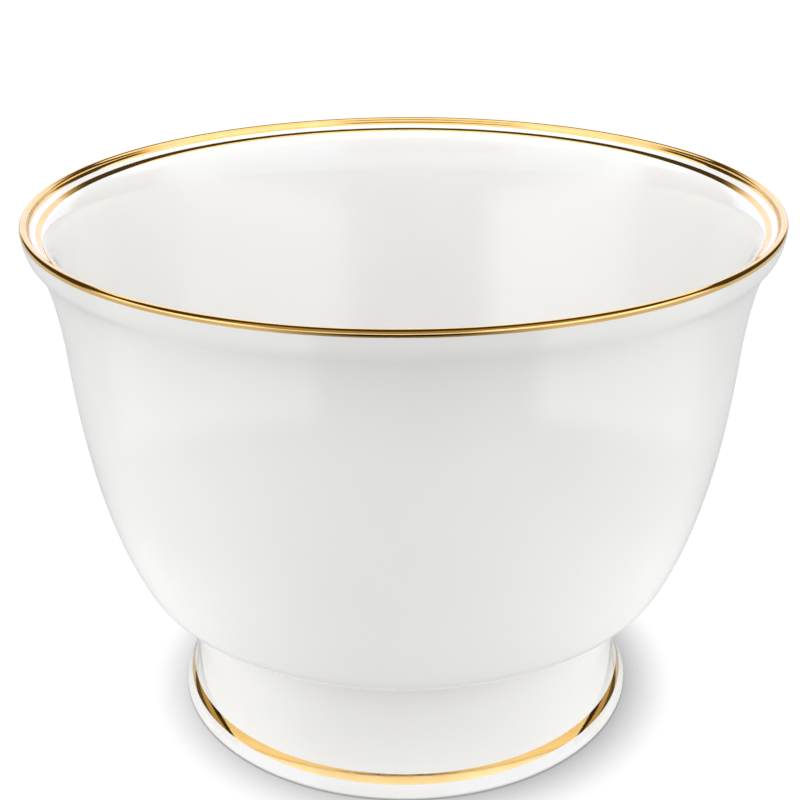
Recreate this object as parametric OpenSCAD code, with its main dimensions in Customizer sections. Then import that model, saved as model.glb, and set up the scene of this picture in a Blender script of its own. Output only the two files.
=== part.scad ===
// Footed porcelain serving bowl with gilded trim.
// A deep round bowl stands on a hollow flared foot that is luted to it with slip.
// Gold runs over the rim, in a thin line inside the lip and in a band round the foot.
// Frame: origin at the centre of the face it stands on, +Z up the axis of the bowl, millimetres.
// Every sub-part is one outline of [radius, height] points turned about that axis.

/* [Bowl] */
// Diameter across the outside of the rim
rim_d = 216; // [210:1:222]
// Height from the table to the top of the rim
bowl_h = 157.5; // [154:0.5:161]
// Radius of the rounded edge of the rim
lip_r = 1.1; // [0.9:0.1:1.2]
// Diameter at the top of the wall, where the lip starts to flare
flare_d = 198.2; // [196:0.2:200]
// Height at which the lip starts to flare
flare_h = 124; // [121:1:127]
// Diameter at the hip, where the wall turns under the bowl
hip_d = 166.8; // [165:0.2:168.6]
// Height of the hip above the table
hip_h = 47.9; // [47:0.1:48.8]
// Thickness of the side wall
wall_t = 3.8; // [3.4:0.1:4.2]
// Thickness of the floor at its centre
floor_t = 5; // [4:0.5:6]

/* [Foot] */
// Diameter of the foot where it stands
foot_d = 143; // [141:0.5:145]
// Diameter of the foot at its waist
waist_d = 133.8; // [133.4:0.1:134.2]
// Height of the foot, up to the slip that holds it
foot_h = 36.9; // [36.5:0.1:37.1]
// Thickness of the foot's wall at the waist
foot_t = 4; // [3.5:0.1:4.5]

/* [Gold] */
// Depth to which the gold is let into the glaze, so that it lies flush
gold_t = 0.2; // [0.1:0.05:0.25]
// Distance that the rim's gold runs down outside, from the top of the rim
rim_gold_out = 1.7; // [1.5:0.1:2]
// Distance that the rim's gold runs down inside, from the top of the rim
rim_gold_in = 2.2; // [1.8:0.1:2.4]
// Depth of the inner line's upper edge below the top of the rim
line_top = 3.1; // [3:0.1:3.3]
// Depth of the inner line's lower edge below the top of the rim
line_low = 3.9; // [3.7:0.1:4.2]
// Height of the foot band's lower edge above the table
band_low = 4.2; // [3.8:0.1:4.6]
// Height of the foot band's upper edge above the table
band_top = 7.1; // [6.6:0.1:7.6]

/* [Hidden] */
$fn = 180;
PORCELAIN = [0.96, 0.95, 0.92];
SLIP = [0.90, 0.89, 0.85];
GOLD = [0.83, 0.62, 0.25];
// Steps along a long curve, and along a small one
long_steps = 36;
short_steps = 16;

// Slopes of the outside, in degrees above the horizontal
under_rise = 22;
hip_rise = 64.2;
flare_rise = 83.4;
lip_rise = 84;
// Angle round the edge of the rim at which the inside of the lip begins
lip_turn = 176;
// Slope of the shoulder inside the lip, running down towards the axis
shoulder_fall = 205;
// Slope of the floor where it meets the wall, running in towards the axis
floor_fall = 186;

// Slip: its thickness under the bowl, and how far it creeps outward and inward of the foot
slip_t = 0.7;
slip_out = 0.3;
slip_in = 1.4;
// How much higher the underside is at the foot than at its middle
underside_dish = 2.6;
// Radius and rise of the well, where the floor starts to turn up into the wall
well_r = 58;
well_rise = 4;
// Distance of the inner gold line in from the outside of the rim
line_inset = 5.1;

// Foot: radius of its bottom edges, width of the flat ring between them, slopes just above them
base_round = 0.8;
base_flat = 3.2;
base_lean_out = 31;
base_lean_in = 20;
// Height at which the foot starts to flare
waist_h = 20;

// Landmarks of the bowl, as [radius, height]
seat_h = foot_h + slip_t;
neck = [waist_d / 2 + slip_out, seat_h];
hip = [hip_d / 2, hip_h];
flare = [flare_d / 2, flare_h];
lip_centre = [rim_d / 2 - lip_r, bowl_h - lip_r];
lip_start = lip_centre + lip_r * polar(lip_rise - 90);
gold_edge = lip_start - (lip_start.y - bowl_h + rim_gold_out) / sin(lip_rise) * polar(lip_rise);
lip_end = lip_centre + lip_r * polar(lip_turn);
line_mid = [rim_d / 2 - line_inset, bowl_h - (line_top + line_low) / 2];
flare_inside = flare + wall_t * polar(flare_rise + 90);
well = [well_r, seat_h + well_rise];
under_middle = [0, seat_h - underside_dish];
floor_middle = under_middle + [0, floor_t];

// Landmarks of the foot
waist_out = [waist_d / 2, waist_h];
waist_in = waist_out - [foot_t, 0];
top_out = [waist_out.x, foot_h];
top_in = [waist_in.x, foot_h];
base_centre_out = [foot_d / 2 - base_round, base_round];
base_centre_in = base_centre_out - [base_flat, 0];

// Direction at an angle in degrees, from outward round to up
function polar(angle) = [cos(angle), sin(angle)];

// Smooth curve from p to q that leaves and arrives at given angles
// The pulls, in millimetres, set how far it holds each of those directions
function curve(p, q, leave, arrive, pulls, steps) =
    let (c = p + pulls[0] * polar(leave), d = q - pulls[1] * polar(arrive))
    [for (i = [0 : steps])
        let (t = i / steps, s = 1 - t)
        s * s * s * p + 3 * s * s * t * c + 3 * s * t * t * d + t * t * t * q];

// Arc about a centre between two angles
function arc(centre, radius, from, to, steps) =
    [for (i = [0 : steps]) centre + radius * polar(from + (to - from) * i / steps)];

// Stretches that meet end to end, joined with each shared point kept once
function joined(stretches) =
    [for (s = [0 : len(stretches) - 1])
        for (i = [(s == 0 ? 0 : 1) : len(stretches[s]) - 1]) stretches[s][i]];

function slice(path, i, j) = [for (k = [i : j]) path[k]];
function reversed(path) = [for (k = [len(path) - 1 : -1 : 0]) path[k]];

// First and last points of a path that lie above a height
function first_above(path, z) = [for (k = [0 : len(path) - 1]) if (path[k].y > z) k][0];
function last_above(path, z) = [for (k = [len(path) - 1 : -1 : 0]) if (path[k].y > z) k][0];

// Unit normal of a path at point k, into the clay: the outlines run anticlockwise
function inward(path, k) =
    let (d = path[min(k + 1, len(path) - 1)] - path[max(k - 1, 0)])
    [-d.y, d.x] / norm(d);

// Floor of the groove that holds a band of gold, from point i to point j
function groove(path, i, j) = [for (k = [i : j]) path[k] + gold_t * inward(path, k)];

// Section of a band of gold that fills that groove
function band(path, i, j) = concat(slice(path, i, j), reversed(groove(path, i, j)));

// Underside, from the centre out to the foot, and on from the foot to the hip
underside = curve(under_middle, [waist_in.x - slip_in, seat_h],
    leave = 0, arrive = 4, pulls = [30, 20], steps = short_steps);
turn_under = curve(neck, hip, leave = under_rise, arrive = hip_rise, pulls = [2, 9], steps = short_steps);
// Outside, from the hip up to the rim
side_wall = curve(hip, flare, leave = hip_rise, arrive = flare_rise, pulls = [31, 8], steps = long_steps);
lip_flare = curve(flare, gold_edge,
    leave = flare_rise, arrive = lip_rise, pulls = [31.3, 11.3], steps = long_steps);
outside = joined([turn_under, side_wall, lip_flare]);
lip_edge = arc(lip_centre, lip_r, lip_rise - 90, lip_turn, long_steps);
// Inside, from the rim down to the middle of the floor
cove = curve(lip_end, line_mid,
    leave = lip_turn + 90, arrive = shoulder_fall, pulls = [1.3, 1.5], steps = short_steps);
inside_lip = curve(line_mid, flare_inside,
    leave = shoulder_fall, arrive = flare_rise + 180, pulls = [4, 22], steps = long_steps);
inside_wall = curve(flare_inside, well,
    leave = flare_rise + 180, arrive = floor_fall, pulls = [64, 27], steps = long_steps);
floor_dish = curve(well, floor_middle,
    leave = floor_fall, arrive = 180, pulls = [12, 25], steps = short_steps);
inside = joined([[gold_edge, lip_start], lip_edge, cove, inside_lip, inside_wall, floor_dish]);
bowl_outline = concat(underside, joined([outside, inside]));

// Foot, from the outer edge of its base up the outside and down the inside
foot_face = curve(base_centre_out + base_round * polar(base_lean_out), waist_out,
    leave = base_lean_out + 90, arrive = 90, pulls = [4.5, 9], steps = long_steps);
foot_inside = curve(waist_in, base_centre_in + base_round * polar(base_lean_in + 180),
    leave = 270, arrive = base_lean_in + 270, pulls = [8, 5], steps = short_steps);
foot_outline = joined([
    arc(base_centre_out, base_round, -90, base_lean_out, short_steps),
    foot_face,
    [waist_out, top_out, top_in, waist_in],
    foot_inside,
    arc(base_centre_in, base_round, base_lean_in + 180, 270, short_steps)]);

// Slip between the foot and the bowl, with a small fillet outside and inside
fillet_drop = 1.3;
fillet_points = 4;
fillet_start = top_out - [0, fillet_drop];
fillet_out = curve(fillet_start, turn_under[fillet_points],
    leave = 90, arrive = under_rise, pulls = [1, 1], steps = short_steps);
slip_outline = concat(
    fillet_out,
    reversed(slice(turn_under, 0, fillet_points - 1)),
    [underside[short_steps], top_in - [0, fillet_drop], top_in, top_out]);

// Where each band of gold starts and ends along its outline
rim_from = len(underside) + len(outside) - 1;
rim_to = last_above(bowl_outline, bowl_h - rim_gold_in);
line_from = last_above(bowl_outline, bowl_h - line_top);
line_to = last_above(bowl_outline, bowl_h - line_low);
band_from = first_above(foot_outline, band_low);
band_to = first_above(foot_outline, band_top);

// Turns a section about the axis of the bowl
module turned(outline, colour) {
    color(colour)
        rotate_extrude()
            polygon(outline);
}

module bowl_body() {
    turned(concat(
        slice(bowl_outline, 0, rim_from),
        groove(bowl_outline, rim_from, rim_to),
        slice(bowl_outline, rim_to, line_from),
        groove(bowl_outline, line_from, line_to),
        slice(bowl_outline, line_to, len(bowl_outline) - 1)), PORCELAIN);
}

module pedestal_foot() {
    turned(concat(
        slice(foot_outline, 0, band_from),
        groove(foot_outline, band_from, band_to),
        slice(foot_outline, band_to, len(foot_outline) - 1)), PORCELAIN);
}

module slip_joint() {
    turned(slip_outline, SLIP);
}

module rim_gold_band() {
    turned(band(bowl_outline, rim_from, rim_to), GOLD);
}

module inner_gold_line() {
    turned(band(bowl_outline, line_from, line_to), GOLD);
}

module foot_gold_band() {
    turned(band(foot_outline, band_from, band_to), GOLD);
}

bowl_body();
pedestal_foot();
slip_joint();
rim_gold_band();
inner_gold_line();
foot_gold_band();
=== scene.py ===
"""Looks for a footed porcelain serving bowl with gilded trim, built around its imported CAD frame."""

import math

import bpy
import numpy as np
from mathutils import Matrix, Vector


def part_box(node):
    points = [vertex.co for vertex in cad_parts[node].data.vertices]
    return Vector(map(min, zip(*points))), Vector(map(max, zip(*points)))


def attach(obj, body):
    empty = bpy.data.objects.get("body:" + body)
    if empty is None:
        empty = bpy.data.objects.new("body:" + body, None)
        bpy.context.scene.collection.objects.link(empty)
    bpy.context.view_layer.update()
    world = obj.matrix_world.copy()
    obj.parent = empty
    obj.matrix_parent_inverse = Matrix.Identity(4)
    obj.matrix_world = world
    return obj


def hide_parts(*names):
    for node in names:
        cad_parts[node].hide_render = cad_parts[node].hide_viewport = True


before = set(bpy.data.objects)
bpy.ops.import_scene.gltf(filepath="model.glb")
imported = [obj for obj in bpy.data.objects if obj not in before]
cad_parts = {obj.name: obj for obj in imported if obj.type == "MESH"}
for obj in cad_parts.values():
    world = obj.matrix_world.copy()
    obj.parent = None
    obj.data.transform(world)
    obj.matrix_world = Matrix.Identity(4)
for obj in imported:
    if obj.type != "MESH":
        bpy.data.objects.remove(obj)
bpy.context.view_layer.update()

MM = 0.001
SEGMENTS = 300  # round each turned piece
LONG = 48  # steps along a long curve
SHORT = 20  # steps along a small one
TINY = 16  # steps along a rounded edge or a fillet

# Driving sizes, from the frame
RIM_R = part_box("rim_gold_band")[1].x
BOWL_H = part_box("rim_gold_band")[1].z
FOOT_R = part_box("pedestal_foot")[1].x
FOOT_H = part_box("pedestal_foot")[1].z

# The bowl's own sizes, as the CAD design has them
LIP_R = 1.1 * MM
WALL_T = 3.8 * MM
FLOOR_T = 5 * MM
HIP_R, HIP_H = 83.4 * MM, 47.9 * MM
FLARE_R, FLARE_H = 99.1 * MM, 124 * MM
WELL_R, WELL_RISE = 58 * MM, 4 * MM
UNDERSIDE_DISH = 2.6 * MM

# The foot and the slip that holds it
WAIST_R, WAIST_H = 66.9 * MM, 20 * MM
FOOT_T = 4 * MM
BASE_ROUND = 0.8 * MM
BASE_FLAT = 3.2 * MM
UNGLAZED_H = 0.35 * MM  # height up to which the foot is bare clay
SLIP_T = 0.7 * MM
SLIP_OUT, SLIP_IN = 0.3 * MM, 1.4 * MM
FILLET_DROP = 1.3 * MM
FILLET_POINTS = 4
SEAT_H = FOOT_H + SLIP_T

# Slopes of the outlines, in degrees above outward
UNDER_RISE = 22
HIP_RISE = 64.2
FLARE_RISE = 83.4
LIP_RISE = 84
LIP_TURN = 176
SHOULDER_FALL = 205
FLOOR_FALL = 186
BASE_LEAN_OUT = 31
BASE_LEAN_IN = 20

# Gold, measured from the top of the rim and from the table
GOLD_T = 0.2 * MM
RIM_GOLD_OUT = 1.7 * MM
RIM_GOLD_IN = 2.2 * MM
LINE_TOP = 3.1 * MM
LINE_LOW = 3.9 * MM
LINE_INSET = 5.1 * MM
BAND_LOW = 4.2 * MM
BAND_TOP = 7.1 * MM


# ---------------------------------------------------------------- outlines

SAME = 1e-9  # distances closer than this are one


def at(radius, height):
    """A point of an outline, or a step along one."""
    return np.array([radius, height])


def polar(degrees):
    """Direction at an angle, from outward round to up."""
    angle = math.radians(degrees)
    return at(math.cos(angle), math.sin(angle))


def curve(p, q, leave, arrive, pulls, steps=LONG):
    """Smooth curve from p to q that leaves and arrives at given angles; the pulls are in millimetres."""
    t = np.linspace(0, 1, steps + 1)[:, None]
    s = 1 - t
    c = p + pulls[0] * MM * polar(leave)
    d = q - pulls[1] * MM * polar(arrive)
    return s ** 3 * p + 3 * s ** 2 * t * c + 3 * s * t ** 2 * d + t ** 3 * q


def arc(centre, radius, start, end, steps=SHORT):
    """Points round part of a circle, from one angle to another."""
    return np.array([centre + radius * polar(a) for a in np.linspace(start, end, steps + 1)])


def line(p, q, steps=2):
    """Points along the straight stretch from p to q."""
    return p + (q - p) * np.linspace(0, 1, steps + 1)[:, None]


class Skin:
    """A surface's outline, followed by the distance along it; depth is measured into the clay."""

    def __init__(self, stretches):
        """Stretches are {name: points}, and meet end to end."""
        parts = list(stretches.values())
        joined = [parts[0]] + [part[1:] for part in parts[1:]]
        self.points = np.vstack(joined)
        steps = np.diff(self.points, axis=0)
        self.marks = np.concatenate([[0], np.cumsum(np.linalg.norm(steps, axis=1))])
        self.last_point = dict(zip(stretches, np.cumsum([len(part) for part in joined]) - 1))
        slopes = np.gradient(self.points, axis=0)
        slopes /= np.linalg.norm(slopes, axis=1)[:, None]
        self.inward = np.column_stack([-slopes[:, 1], slopes[:, 0]])

    def place(self, s, depth):
        """Radius and height of the point at distance s along the outline."""
        r = np.interp(s, self.marks, self.points[:, 0]) + depth * np.interp(s, self.marks, self.inward[:, 0])
        z = np.interp(s, self.marks, self.points[:, 1]) + depth * np.interp(s, self.marks, self.inward[:, 1])
        return r, z

    def end_of(self, stretch):
        """Distance at which a stretch ends."""
        return self.marks[self.last_point[stretch]]

    def mark_at(self, height, first, last):
        """Distance at which the outline is at a height, between two distances."""
        inside = (self.marks >= first) & (self.marks <= last)
        heights, marks = self.points[inside, 1], self.marks[inside]
        order = np.argsort(heights)
        return float(np.interp(height, heights[order], marks[order]))

    def between(self, first, last):
        """The distances of the outline's own points from one distance to another, both included."""
        inner = self.marks[(self.marks > first + SAME) & (self.marks < last - SAME)]
        return np.concatenate([[first], inner, [last]])


def turn_under(steps):
    """The outside of the bowl from the slip to the hip."""
    neck, hip = at(WAIST_R + SLIP_OUT, SEAT_H), at(HIP_R, HIP_H)
    return curve(neck, hip, UNDER_RISE, HIP_RISE, [2, 9], steps)


def bowl_skin():
    """The bowl from the middle of its underside, out and up to the rim, and down inside to the floor."""
    under = turn_under(SHORT)
    neck, hip = under[0], under[-1]
    flare = at(FLARE_R, FLARE_H)
    lip_centre = at(RIM_R - LIP_R, BOWL_H - LIP_R)
    lip_start = lip_centre + LIP_R * polar(LIP_RISE - 90)
    rise = lip_start[1] - BOWL_H + RIM_GOLD_OUT
    gold_edge = lip_start - rise / math.sin(math.radians(LIP_RISE)) * polar(LIP_RISE)
    lip_end = lip_centre + LIP_R * polar(LIP_TURN)
    line_mid = at(RIM_R - LINE_INSET, BOWL_H - (LINE_TOP + LINE_LOW) / 2)
    flare_inside = flare + WALL_T * polar(FLARE_RISE + 90)
    well = at(WELL_R, SEAT_H + WELL_RISE)
    under_middle = at(0, SEAT_H - UNDERSIDE_DISH)
    floor_middle = under_middle + at(0, FLOOR_T)
    slip_inner = at(WAIST_R - FOOT_T - SLIP_IN, SEAT_H)
    return Skin({
        "underside": curve(under_middle, slip_inner, 0, 4, [30, 20], SHORT),
        "seat": line(slip_inner, neck),
        "turn_under": under,
        "side_wall": curve(hip, flare, HIP_RISE, FLARE_RISE, [31, 8]),
        "lip_flare": curve(flare, gold_edge, FLARE_RISE, LIP_RISE, [31.3, 11.3]),
        "gilt_side": line(gold_edge, lip_start),
        "lip_edge": arc(lip_centre, LIP_R, LIP_RISE - 90, LIP_TURN),
        "cove": curve(lip_end, line_mid, LIP_TURN + 90, SHOULDER_FALL, [1.3, 1.5], SHORT),
        "inside_lip": curve(line_mid, flare_inside, SHOULDER_FALL, FLARE_RISE + 180, [4, 22]),
        "inside_wall": curve(flare_inside, well, FLARE_RISE + 180, FLOOR_FALL, [64, 27]),
        "floor": curve(well, floor_middle, FLOOR_FALL, 180, [12, 25], SHORT),
    })


def foot_skin():
    """The foot from the outer edge of its base, up the outside, over the top and down the inside."""
    centre_out = at(FOOT_R - BASE_ROUND, BASE_ROUND)
    centre_in = centre_out - at(BASE_FLAT, 0)
    waist_out, top_out = at(WAIST_R, WAIST_H), at(WAIST_R, FOOT_H)
    waist_in, top_in = at(WAIST_R - FOOT_T, WAIST_H), at(WAIST_R - FOOT_T, FOOT_H)
    face_start = centre_out + BASE_ROUND * polar(BASE_LEAN_OUT)
    inside_end = centre_in + BASE_ROUND * polar(BASE_LEAN_IN + 180)
    return Skin({
        "outer_edge": arc(centre_out, BASE_ROUND, -90, BASE_LEAN_OUT, TINY),
        "face": curve(face_start, waist_out, BASE_LEAN_OUT + 90, 90, [4.5, 9]),
        "outside": line(waist_out, top_out, 12),
        "top": line(top_out, top_in),
        "inside": line(top_in, waist_in, 12),
        "inner_face": curve(waist_in, inside_end, 270, BASE_LEAN_IN + 270, [8, 5], SHORT),
        "inner_edge": arc(centre_in, BASE_ROUND, BASE_LEAN_IN + 180, 270, TINY),
        "base": line(at(centre_in[0], 0), at(centre_out[0], 0), 4),
    })


# ---------------------------------------------------------------- turned pieces

ANGLES = np.arange(SEGMENTS) * 2 * math.pi / SEGMENTS
STRAY = 0.035 * MM  # how far a gold edge strays from its line
STRAY_REACH = 0.35 * MM  # how far from the edge the surface's points go along
STRAY_WAVES = (2, 3, 5, 8, 13, 21, 34)  # round the bowl
FOOT_SEED = 10  # the rim's edges have the seeds below it
POLE_R = 0.001 * MM  # a ring smaller than this is one point
SHARP = math.radians(35)  # edges sharper than this stay sharp


def stray(seed):
    """How far a hand-banded edge strays along the surface, at each angle round the bowl."""
    random = np.random.default_rng(seed)
    total = np.zeros(SEGMENTS)
    for waves in STRAY_WAVES:
        total += random.normal() / waves ** 0.5 * np.cos(waves * ANGLES + random.uniform(0, 2 * math.pi))
    return total * STRAY


def ring(skin, s, depth, edges):
    """Radii and heights, at each angle, of the ring at a distance along the skin.

    Edges is {distance: seed}: the edges of the gold, and the seed of the way that each one strays.
    """
    along = np.full(SEGMENTS, float(s))
    for edge, seed in edges.items():
        along += stray(seed) * math.exp(-(((s - edge) / STRAY_REACH) ** 2))
    return skin.place(along, depth)


def turned(name, rings, closed=True):
    """A mesh of rings turned about the axis. Each ring is (radii, heights), one value for each angle."""
    verts, starts = [], []
    for radii, heights in rings:
        starts.append(len(verts))
        if radii.max() < POLE_R:
            verts.append((0, 0, heights[0]))
            continue
        verts.extend(zip(radii * np.cos(ANGLES), radii * np.sin(ANGLES), heights))
    starts.append(len(verts))
    faces = []
    for a in range(len(rings) if closed else len(rings) - 1):
        faces.extend(hoop(starts, a, (a + 1) % len(rings)))
    mesh = bpy.data.meshes.new(name)
    mesh.from_pydata(np.array(verts).tolist(), [], faces)
    mesh.shade_smooth()
    mesh.set_sharp_from_angle(angle=SHARP)
    piece = bpy.data.objects.new(name, mesh)
    bpy.context.scene.collection.objects.link(piece)
    return piece


def hoop(starts, a, b):
    """Faces between ring a and ring b; a ring of one point is a pole."""
    pole_a = starts[a + 1] - starts[a] == 1
    pole_b = starts[b + 1] - starts[b] == 1
    faces = []
    for k in range(SEGMENTS):
        n = (k + 1) % SEGMENTS
        corners = [starts[a] if pole_a else starts[a] + k]
        corners += [] if pole_a else [starts[a] + n]
        corners += [starts[b] if pole_b else starts[b] + n]
        corners += [] if pole_b else [starts[b] + k]
        if len(corners) > 2:
            faces.append(corners)
    return faces


def clay_rings(skin, bands, edges):
    """Rings of a glazed piece, sunk by the gold's thickness along each band of gold."""
    rings, s = [], 0.0
    for first, last in bands:
        rings += [ring(skin, m, 0, edges) for m in skin.between(s, first)]
        rings += [ring(skin, m, GOLD_T, edges) for m in skin.between(first, last)]
        s = last
    return rings + [ring(skin, m, 0, edges) for m in skin.between(s, skin.marks[-1])]


def gold_rings(skin, first, last, edges):
    """Rings of a band of gold: its face, then back along the groove that it lies in."""
    marks = skin.between(first, last)
    face = [ring(skin, m, 0, edges) for m in marks]
    return face + [ring(skin, m, GOLD_T, edges) for m in marks[::-1]]


def place_piece(piece, node, materials):
    """Gives a piece its materials and makes it stand for a CAD node."""
    for material in materials:
        piece.data.materials.append(material)
    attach(piece, "root")
    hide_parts(node)


def make_bowl(glaze, gold):
    """The glazed bowl, the gold over its rim and the gold line inside it."""
    skin = bowl_skin()
    top_in, low_in = skin.end_of("lip_edge"), skin.end_of("inside_lip")
    rim = (skin.end_of("lip_flare"), skin.mark_at(BOWL_H - RIM_GOLD_IN, top_in, low_in))
    line_band = tuple(skin.mark_at(BOWL_H - drop, top_in, low_in) for drop in (LINE_TOP, LINE_LOW))
    edges = {mark: seed for seed, mark in enumerate(rim + line_band)}
    body = turned("porcelain_bowl", clay_rings(skin, [rim, line_band], edges), closed=False)
    place_piece(body, "bowl_body", [glaze])
    for name, node, band in (
        ("gilded_rim", "rim_gold_band", rim),
        ("gilded_line", "inner_gold_line", line_band),
    ):
        place_piece(turned(name, gold_rings(skin, *band, edges)), node, [gold])


def make_foot(glaze, biscuit, gold):
    """The glazed foot, bare where it stands, and the band of gold round it."""
    skin = foot_skin()
    band = tuple(skin.mark_at(height, 0, skin.end_of("face")) for height in (BAND_LOW, BAND_TOP))
    edges = {mark: seed for seed, mark in enumerate(band, start=FOOT_SEED)}
    foot = turned("porcelain_foot", clay_rings(skin, [band], edges)[:-1])
    place_piece(foot, "pedestal_foot", [glaze, biscuit])
    for face in foot.data.polygons:
        face.material_index = int(face.center.z < UNGLAZED_H)
    gilt = turned("gilded_foot_band", gold_rings(skin, *band, edges))
    place_piece(gilt, "foot_gold_band", [gold])


def make_slip(glaze):
    """The ring of slip that joins the foot to the bowl, with its fillets."""
    drop = at(0, FILLET_DROP)
    outer, inner = at(WAIST_R, FOOT_H), at(WAIST_R - FOOT_T, FOOT_H)
    under = turn_under(TINY)[:FILLET_POINTS + 1]
    outline = np.vstack([
        curve(outer - drop, under[-1], 90, UNDER_RISE, [1, 1], TINY),
        under[-2::-1],
        [at(inner[0] - SLIP_IN, SEAT_H), inner - drop, inner, outer],
    ])
    rings = [(np.full(SEGMENTS, r), np.full(SEGMENTS, z)) for r, z in outline]
    place_piece(turned("slip_fillet", rings), "slip_joint", [glaze])


# ---------------------------------------------------------------- node trees

NOISE_SPAN = (0.3, 0.7)  # nearly all noise lies in it


class Graph:
    """Short ways to build the node tree of a material or of the world."""

    def __init__(self, tree):
        self.nodes, self.links = tree.nodes, tree.links

    def add(self, kind):
        """A new node, by the end of its type's name."""
        return self.nodes.new(f"ShaderNode{kind}")

    def join(self, value, socket):
        """Gives a socket a number, a colour, a vector or another node's output."""
        if isinstance(value, bpy.types.NodeSocket):
            self.links.new(value, socket)
        else:
            socket.default_value = value

    def work_out(self, kind, operation, values):
        """The number that a node of a kind gives."""
        node = self.add(kind)
        node.operation = operation
        for socket, value in zip(node.inputs, values):
            self.join(value, socket)
        return node.outputs["Value"]

    def calculate(self, operation, *values):
        """A number worked out from numbers."""
        return self.work_out("Math", operation, values)

    def measure(self, operation, *vectors):
        """A number worked out from vectors."""
        return self.work_out("VectorMath", operation, vectors)

    def product(self, first, *others):
        """Numbers multiplied together."""
        total = first
        for value in others:
            total = self.calculate("MULTIPLY", total, value)
        return total

    def ramp(self, value, span, ends=(0, 1), kind="LINEAR"):
        """A value mapped from one span to another, and clamped."""
        node = self.add("MapRange")
        node.interpolation_type = kind
        names = ("Value", "From Min", "From Max", "To Min", "To Max")
        for name, number in zip(names, (value, *span, *ends)):
            self.join(number, node.inputs[name])
        return node.outputs["Result"]

    def rise(self, value, span):
        """0 below a span and 1 above it, with a soft change along it."""
        return self.ramp(value, span, kind="SMOOTHSTEP")

    def fall(self, value, span):
        """1 below a span and 0 above it, with a soft change along it."""
        return self.calculate("SUBTRACT", 1, self.rise(value, span))

    def split(self, vector):
        """The X, Y and Z of a vector."""
        node = self.add("SeparateXYZ")
        self.join(vector, node.inputs[0])
        return [node.outputs[axis] for axis in "XYZ"]

    def combine(self, *parts):
        """A vector of an X, a Y and perhaps a Z."""
        node = self.add("CombineXYZ")
        for socket, value in zip(node.inputs, parts):
            self.join(value, socket)
        return node.outputs["Vector"]

    def object_place(self):
        """Where a point is on its object."""
        return self.add("TexCoord").outputs["Object"]

    def noise(self, waves, detail=2, place=None):
        """Noise with so many waves in each metre."""
        texture = self.add("TexNoise")
        self.join(waves, texture.inputs["Scale"])
        self.join(detail, texture.inputs["Detail"])
        self.join(self.object_place() if place is None else place, texture.inputs["Vector"])
        return texture.outputs["Fac"]

    def mottle(self, waves, detail, ends=(0, 1), span=NOISE_SPAN):
        """Noise that varies between two numbers."""
        return self.ramp(self.noise(waves, detail), span, ends)

    def mix(self, factor, first, second, kind="RGBA"):
        """Two colours, or with kind VALUE two numbers, mixed by a factor."""
        node = self.add("Mix")
        node.data_type = "FLOAT" if kind == "VALUE" else kind
        self.join(factor, node.inputs["Factor"])
        for name, value in (("A", first), ("B", second)):
            socket = next(s for s in node.inputs if s.name == name and s.type == kind)
            self.join((*value, 1) if isinstance(value, tuple) else value, socket)
        return next(s for s in node.outputs if s.type == kind)

    def bump(self, height, distance, normal=None):
        """The normal of a surface that a height raises, over another normal if there is one."""
        node = self.add("Bump")
        self.join(distance, node.inputs["Distance"])
        self.join(1, node.inputs["Strength"])
        self.join(height, node.inputs["Height"])
        if normal is not None:
            self.join(normal, node.inputs["Normal"])
        return node.outputs["Normal"]


def new_material(name):
    """A material, its node graph and the sockets of its shader."""
    material = bpy.data.materials.new(name)
    material.use_nodes = True
    graph = Graph(material.node_tree)
    return material, graph, graph.nodes["Principled BSDF"].inputs


# ---------------------------------------------------------------- materials

# The two colours that each finish varies between
CHINA = (0.80, 0.793, 0.77), (0.825, 0.819, 0.797)
# darker and warmer than the china: glaze pooled on the slip, and painted shade of the crease where the foot
# meets the bowl
POOLED_GLAZE_AND_CREASE_SHADE = (0.66, 0.56, 0.48), (0.72, 0.63, 0.56)
BARE_CLAY = (0.62, 0.60, 0.55), (0.74, 0.72, 0.67)
GOLD = (0.93, 0.57, 0.17), (0.97, 0.65, 0.25)
# Their roughness
GLAZE_ROUGH = (0.03, 0.06)
POOLED_ROUGH = (0.06, 0.14)
CLAY_ROUGH = (0.65, 0.85)
GOLD_ROUGH = (0.05, 0.1)
# Depths of their unevenness
RIPPLE = 0.03 * MM
ORANGE_PEEL = 0.0006 * MM
POOLED_WAVES = 0.02 * MM
CLAY_GRAIN = 0.02 * MM
BRUSH_MARKS = 0.003 * MM
BRUSH_DRIFT = 4 * MM
GLAZE_IOR = 1.52
TONE_SPAN = (0.35, 0.65)  # the noise over which a glaze changes tone


def make_glaze():
    """Clear glossy glaze over warm white china."""
    material, graph, shader = new_material("clear_glaze")
    tone = graph.mottle(14, 2, span=TONE_SPAN)
    graph.join(graph.mix(tone, *CHINA), shader["Base Color"])
    graph.join(graph.mottle(45, 3, GLAZE_ROUGH), shader["Roughness"])
    ripple = graph.bump(graph.noise(70, 1), RIPPLE)
    graph.join(graph.bump(graph.noise(900, 2), ORANGE_PEEL, ripple), shader["Normal"])
    shader["IOR"].default_value = GLAZE_IOR
    return material


def make_slip_glaze():
    """Glaze that has pooled over the slip, darker and warmer than the china: partly the pooled glaze, partly
    painted shade of the crease where the foot meets the bowl.
    """
    material, graph, shader = new_material("pooled_glaze_and_crease_shade")
    tone = graph.mottle(60, 2, span=TONE_SPAN)
    graph.join(graph.mix(tone, *POOLED_GLAZE_AND_CREASE_SHADE), shader["Base Color"])
    graph.join(graph.mottle(300, 3, POOLED_ROUGH), shader["Roughness"])
    graph.join(graph.bump(graph.noise(500, 2), POOLED_WAVES), shader["Normal"])
    shader["IOR"].default_value = GLAZE_IOR
    return material


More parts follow.
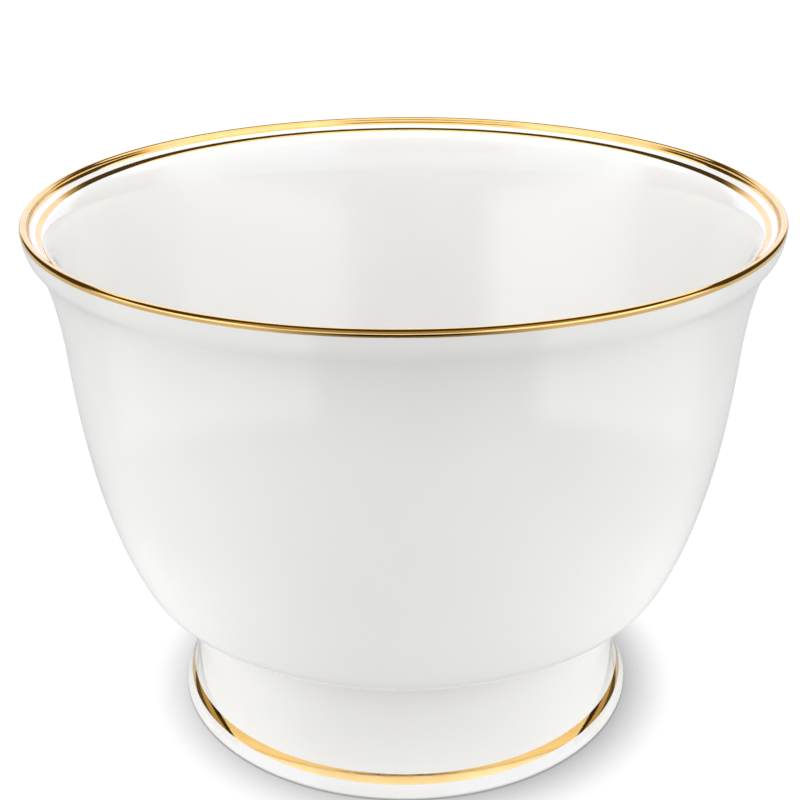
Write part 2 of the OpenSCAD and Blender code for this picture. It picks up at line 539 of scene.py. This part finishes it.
def make_biscuit():
    """Bare fired clay on the ring that the foot stands on."""
    material, graph, shader = new_material("bare_clay")
    grain = graph.noise(2500, 4)
    graph.join(graph.mix(graph.ramp(grain, NOISE_SPAN), *BARE_CLAY), shader["Base Color"])
    graph.join(graph.mottle(300, 2, CLAY_ROUGH), shader["Roughness"])
    graph.join(graph.bump(grain, CLAY_GRAIN), shader["Normal"])
    return material


def brush_marks(graph):
    """Fine marks that run round the bowl, as a banding brush leaves them."""
    x, y, z = graph.split(graph.object_place())
    radius = graph.measure("LENGTH", graph.combine(x, y))
    drift = graph.product(graph.noise(30), BRUSH_DRIFT)
    return graph.noise(5000, 2, graph.combine(radius, z, drift))


def make_gold():
    """Burnished overglaze gold, banded on with a brush."""
    material, graph, shader = new_material("burnished_gold")
    graph.join(graph.mix(graph.mottle(90, 3), *GOLD), shader["Base Color"])
    graph.join(graph.mottle(400, 3, GOLD_ROUGH), shader["Roughness"])
    graph.join(graph.bump(brush_marks(graph), BRUSH_MARKS), shader["Normal"])
    shader["Metallic"].default_value = 1
    return material


# ---------------------------------------------------------------- studio

def radians(*degrees):
    """Angles in radians."""
    return tuple(math.radians(angle) for angle in degrees)


# Directions in the studio are in degrees: azimuth from the camera's side towards the right, elevation upwards

# Soft boxes that the glaze and the gold reflect: azimuths, elevations, softness of the edges, brightness
SOFT_BOXES = (
    ((22, 97), (-60, 33), 6, 1.25),
    ((-97, -42), (-60, 28), 6, 1.25),
    ((-42, 22), (-60, 15), 6, 1.05),
    ((-70, 80), (8, 66), 8, 0.36),
)
BACK_BOX = ((146, 190), (-20, 28), 5, 1.15)  # the same, on both sides
DARK_STUDIO = 0.06
DIM_TINT, BRIGHT_TINT = (1, 0.82, 0.45), (0.95, 0.98, 1.3)  # colours of dim and of bright parts
TINT_SPAN = (0.5, 1.0)  # brightness over which one colour turns into the other

# Broad light that falls on the china: azimuth, elevation, brightness
BROAD_LIGHT = (
    (0, 90, 0.72),
    (0, 50, 1.0),
    (60, 50, 0.86),
    (-60, 50, 0.92),
    (120, 50, 0.42),
    (-120, 50, 0.46),
    (180, 50, 0.44),
    (90, 30, 0.42),
    (-90, 30, 0.46),
    (0, 12, 0.43),
    (45, 12, 0.57),
    (-45, 12, 0.57),
    (90, 12, 0.8),
    (-90, 12, 0.82),
    (135, 12, 0.15),
    (-135, 12, 0.16),
    (180, 12, 0.17),
)
LOBE_POWER = 6
LEVEL_TINT, TOP_TINT = (1, 0.996, 0.962), (0.98, 0.99, 1.03)  # its colours, level and overhead

# The foot's painted shadow on the floor: the floor's glow, dimmed by ambient occlusion
CONTACT = 25 * MM  # how far it reaches
SHADOW_LEAN = (-0.15, 0.1, 1)  # tilts the occlusion test, so the painted shadow reaches further on the right, as if a light on the left threw it
SHADOW_SPAN = (0.45, 0.92)  # how open the floor is at its darkest and at its edge
SHADOW_TONE = (0.35, 1.03)  # brightness there

# The same floor as the china sees it: distances in metres, from the axis unless they are to the side
TABLE_SHADE = 0.5
DARK_FRONT = radians(8, 42)  # azimuths over which it turns from dark to pale
DARK_FROM = (0.28, 0.4)  # distances over which it turns dark in front
SIDE_GLOW = 0.72
GLOW_ASIDE = (0.02, 0.14)  # distances to the side over which the glow starts
GLOW_END = (0.2, 0.42)
GLOW_BEHIND = radians(80, 125)  # azimuths over which it fades
NEAR_GLOW = 0.26
GLOW_NEAR = (0.076, 0.096)  # distances over which the glow round the foot starts
GLOW_FAR = (0.12, 0.2)
GLOW_HIDDEN = 0.5  # part of both glows that reflections leave out

# Card over the far side of the rim
ARCH_R = (20 * MM, 145 * MM)
ARCH_H = 250 * MM
ARCH_SPAN = radians(-8, 188)
ARCH_STEPS = 24
ARCH_GLOW = 1.3

# Dim rings beside the foot, seen only in reflections, in place of the shaded floor there, a painted
# reflection of shade: name, lower and upper height in millimetres, brightness
SHADE_FENCES = (("shade_fence_low", 2.6, 3.7, 0.1), ("shade_fence_middle", 3.7, 4.8, 0.5), ("shade_fence_high", 4.8, 6.0, 0.03))
FENCE_R = 73 * MM
FENCE_BASE = 2.6  # height that they taper to, in millimetres
FENCE_SPAN = radians(46, 96)
FENCE_STEPS = 20
FENCE_TAPER = 0.6

# Beams into the bowl: left and right edge in millimetres, power in watts
BEAMS = ((-74, -20, 0.0018), (31, 76, 0.0020))
BEAM_TOP = Vector((0, 78, 143)) * MM  # a point level with the upper edge of the light on the wall
BEAM_HEIGHT = 110 * MM
BEAM_REACH = 300 * MM
BEAM_DOWN = math.radians(35)
BEAM_SPREAD = math.radians(3)

# The two discs under the bowl
STAGE_R = 12
STAGE_SIDES = 128
STAGE_ROUGH = 0.9
TABLE_H = -0.1 * MM
WHITE = (1, 1, 1)


def soft_box(graph, azimuth, elevation, box):
    """Brightness of a soft box in a direction."""
    (left, right), (low, high), soft, level = box

    def edge(degrees):
        return radians(degrees - soft, degrees + soft)

    across = graph.product(level, graph.rise(azimuth, edge(left)), graph.fall(azimuth, edge(right)))
    return graph.product(across, graph.rise(elevation, edge(low)), graph.fall(elevation, edge(high)))


def lobe(graph, direction, azimuth, elevation, level):
    """Broad soft light from one direction."""
    a, e = radians(azimuth, elevation)
    source = (math.sin(a) * math.cos(e), -math.cos(a) * math.cos(e), math.sin(e))
    facing = graph.calculate("MAXIMUM", graph.measure("DOT_PRODUCT", direction, source), 0)
    return graph.product(graph.calculate("POWER", facing, LOBE_POWER), level)


def make_world():
    """Studio light: soft boxes in the reflections, broad light on the china and plain white behind."""
    world = bpy.data.worlds.new("studio")
    bpy.context.scene.world = world
    world.use_nodes = True
    graph = Graph(world.node_tree)
    direction = graph.add("TexCoord").outputs["Generated"]
    x, y, z = graph.split(direction)
    azimuth = graph.calculate("ARCTAN2", x, graph.product(y, -1))
    elevation = graph.calculate("ARCSINE", z)
    either_side = graph.calculate("ABSOLUTE", azimuth)
    boxes, broad = DARK_STUDIO, 0
    for angle, box in [(azimuth, box) for box in SOFT_BOXES] + [(either_side, BACK_BOX)]:
        boxes = graph.calculate("ADD", boxes, soft_box(graph, angle, elevation, box))
    for light in BROAD_LIGHT:
        broad = graph.calculate("ADD", broad, lobe(graph, direction, *light))
    ray = graph.add("LightPath").outputs
    level = graph.mix(ray["Is Glossy Ray"], broad, boxes, "VALUE")
    box_tint = graph.mix(graph.rise(boxes, TINT_SPAN), DIM_TINT, BRIGHT_TINT)
    broad_tint = graph.mix(z, LEVEL_TINT, TOP_TINT)
    tint = graph.mix(ray["Is Glossy Ray"], broad_tint, box_tint)
    background = graph.nodes["Background"].inputs
    graph.join(graph.mix(ray["Is Camera Ray"], tint, WHITE), background["Color"])
    graph.join(graph.calculate("MAXIMUM", level, ray["Is Camera Ray"]), background["Strength"])
    world.cycles.sampling_method = "NONE"


def glow_only(shader, colour=WHITE):
    """Makes a shader matt black, apart from the light that it gives off."""
    shader["Base Color"].default_value = (0, 0, 0, 1)
    shader["Specular IOR Level"].default_value = 0
    shader["Emission Color"].default_value = (*colour, 1)


def make_disc(name, height, for_camera):
    """A matt disc, either for the camera or for the light that comes up from below."""
    place = (0, 0, height)
    bpy.ops.mesh.primitive_circle_add(vertices=STAGE_SIDES, radius=STAGE_R, fill_type="NGON", location=place)
    disc = bpy.context.object
    disc.name = name
    disc.visible_camera = for_camera
    disc.visible_diffuse = not for_camera
    disc.visible_glossy = not for_camera
    disc.visible_shadow = False
    material, graph, shader = new_material(name)
    glow_only(shader)
    shader["Roughness"].default_value = STAGE_ROUGH
    disc.data.materials.append(material)
    return graph, shader


def make_floor():
    """The floor that the camera sees: plain white glow, with a painted shadow round the foot where ambient
    occlusion dims the glow.
    """
    graph, shader = make_disc("studio_floor", 0, True)
    open_sky = graph.add("AmbientOcclusion")
    graph.join(CONTACT, open_sky.inputs["Distance"])
    graph.join(graph.combine(*Vector(SHADOW_LEAN).normalized()), open_sky.inputs["Normal"])
    # painted shadow: the glow is dimmed where the foot closes the floor in
    graph.join(graph.ramp(open_sky.outputs["AO"], SHADOW_SPAN, SHADOW_TONE), shader["Emission Strength"])


def make_table():
    """The same floor as it lights the china: bright at the sides and dark towards the camera."""
    graph, shader = make_disc("studio_table", TABLE_H, False)
    x, y, _ = graph.split(graph.object_place())
    aside = graph.calculate("ABSOLUTE", x)
    towards = graph.product(y, -1)
    azimuth = graph.calculate("ARCTAN2", aside, towards)
    squares = [graph.product(side, side) for side in (aside, towards)]
    off_axis = graph.calculate("SQRT", graph.calculate("ADD", *squares))
    pale = graph.calculate("MAXIMUM", graph.rise(azimuth, DARK_FRONT), graph.fall(off_axis, DARK_FROM))
    graph.join(graph.product(pale, TABLE_SHADE), shader["Base Color"])
    beside = graph.product(graph.rise(aside, GLOW_ASIDE), graph.fall(off_axis, GLOW_END))
    beside = graph.product(beside, graph.fall(azimuth, GLOW_BEHIND), SIDE_GLOW)
    near = graph.product(graph.rise(off_axis, GLOW_NEAR), graph.fall(off_axis, GLOW_FAR), NEAR_GLOW)
    glow = graph.calculate("ADD", beside, near)
    hidden = graph.product(graph.add("LightPath").outputs["Is Glossy Ray"], GLOW_HIDDEN)
    graph.join(graph.product(glow, graph.calculate("SUBTRACT", 1, hidden)), shader["Emission Strength"])


def ribbon(first, steps):
    """Faces between pairs of corners, which start at an index and run on for some steps."""
    return [(k, k + 1, k + 3, k + 2) for k in range(first, first + 2 * steps, 2)]


def make_card(name, corners, faces, brightness, colour=WHITE):
    """A glowing card that only shows in reflections."""
    mesh = bpy.data.meshes.new(name)
    mesh.from_pydata(corners, [], faces)
    card = bpy.data.objects.new(name, mesh)
    bpy.context.scene.collection.objects.link(card)
    material, _, shader = new_material(name)
    glow_only(shader, colour)
    shader["Emission Strength"].default_value = brightness
    mesh.materials.append(material)
    card.visible_camera = False
    card.visible_diffuse = False
    card.visible_shadow = False


def make_arch():
    """A pale card arched over the far side of the rim."""
    angles = np.linspace(*ARCH_SPAN, ARCH_STEPS + 1)
    corners = [(r * math.cos(angle), r * math.sin(angle), ARCH_H) for angle in angles for r in ARCH_R]
    make_card("overhead_card", corners, ribbon(0, ARCH_STEPS), ARCH_GLOW)


def make_shade_fences():
    """Low tapered rings beside the foot, dim cards in place of the shaded floor, which paint streaks of
    reflected shade on the ends of its gold band.
    """
    for name, low, high, brightness in SHADE_FENCES:
        corners, faces = [], []
        for side in (1, -1):
            faces += ribbon(len(corners), FENCE_STEPS)
            for step, angle in enumerate(np.linspace(*FENCE_SPAN, FENCE_STEPS + 1)):
                rise = math.sin(math.pi * step / FENCE_STEPS) ** FENCE_TAPER
                x, y = side * FENCE_R * math.sin(angle), -FENCE_R * math.cos(angle)
                corners += [(x, y, (FENCE_BASE + (h - FENCE_BASE) * rise) * MM) for h in (low, high)]
        # dim glowing cards, seen only in reflections: a painted reflection of the shade beside the foot
        make_card(name, corners, faces, brightness, DIM_TINT)


def aim(thing, place, right, up, ahead):
    """Puts a camera or a light at a place, looking ahead."""
    turn = Matrix((right, up, -ahead)).transposed().to_4x4()
    thing.matrix_world = Matrix.Translation(place) @ turn


def make_beams():
    """Two soft beams from above the camera that fall on the inside of the far wall."""
    ahead = Vector((0, math.cos(BEAM_DOWN), -math.sin(BEAM_DOWN)))
    up = Vector((0, math.sin(BEAM_DOWN), math.cos(BEAM_DOWN)))
    for left, right, power in BEAMS:
        data = bpy.data.lights.new("beam", "AREA")
        data.shape = "RECTANGLE"
        data.size, data.size_y = (right - left) * MM, BEAM_HEIGHT
        data.spread = BEAM_SPREAD
        data.energy = power
        beam = bpy.data.objects.new("beam", data)
        bpy.context.scene.collection.objects.link(beam)
        middle = BEAM_TOP - up * BEAM_HEIGHT / 2 - ahead * BEAM_REACH
        middle.x = (left + right) / 2 * MM
        aim(beam, middle, Vector((1, 0, 0)), up, ahead)
        beam.visible_camera = False
        beam.visible_glossy = False


# ---------------------------------------------------------------- camera

CAMERA_PLACE = Vector((0, -405.5, 270.2)) * MM
CAMERA_DOWN, CAMERA_YAW, CAMERA_ROLL = radians(23.48, -0.181, -0.358)
CAMERA_LENS = 65.03
CAMERA_NEAR = 10 * MM


def make_camera():
    """The camera, fitted to the view in the photograph."""
    ahead = Vector((
        math.sin(CAMERA_YAW) * math.cos(CAMERA_DOWN),
        math.cos(CAMERA_YAW) * math.cos(CAMERA_DOWN),
        -math.sin(CAMERA_DOWN),
    ))
    level = ahead.cross(Vector((0, 0, 1))).normalized()
    above = level.cross(ahead)
    right = math.cos(CAMERA_ROLL) * level + math.sin(CAMERA_ROLL) * above
    up = math.cos(CAMERA_ROLL) * above - math.sin(CAMERA_ROLL) * level
    data = bpy.data.cameras.new("camera")
    data.lens = CAMERA_LENS
    data.clip_start = CAMERA_NEAR
    camera = bpy.data.objects.new("camera", data)
    bpy.context.scene.collection.objects.link(camera)
    aim(camera, CAMERA_PLACE, right, up, ahead)
    bpy.context.scene.camera = camera


# ---------------------------------------------------------------- build

china_glaze, biscuit, gilt = make_glaze(), make_biscuit(), make_gold()
make_camera()
make_bowl(china_glaze, gilt)
make_foot(china_glaze, biscuit, gilt)
make_slip(make_slip_glaze())
make_floor()
make_table()
make_arch()
make_shade_fences()
make_beams()
make_world()
bpy.context.scene.view_settings.view_transform = "Standard"
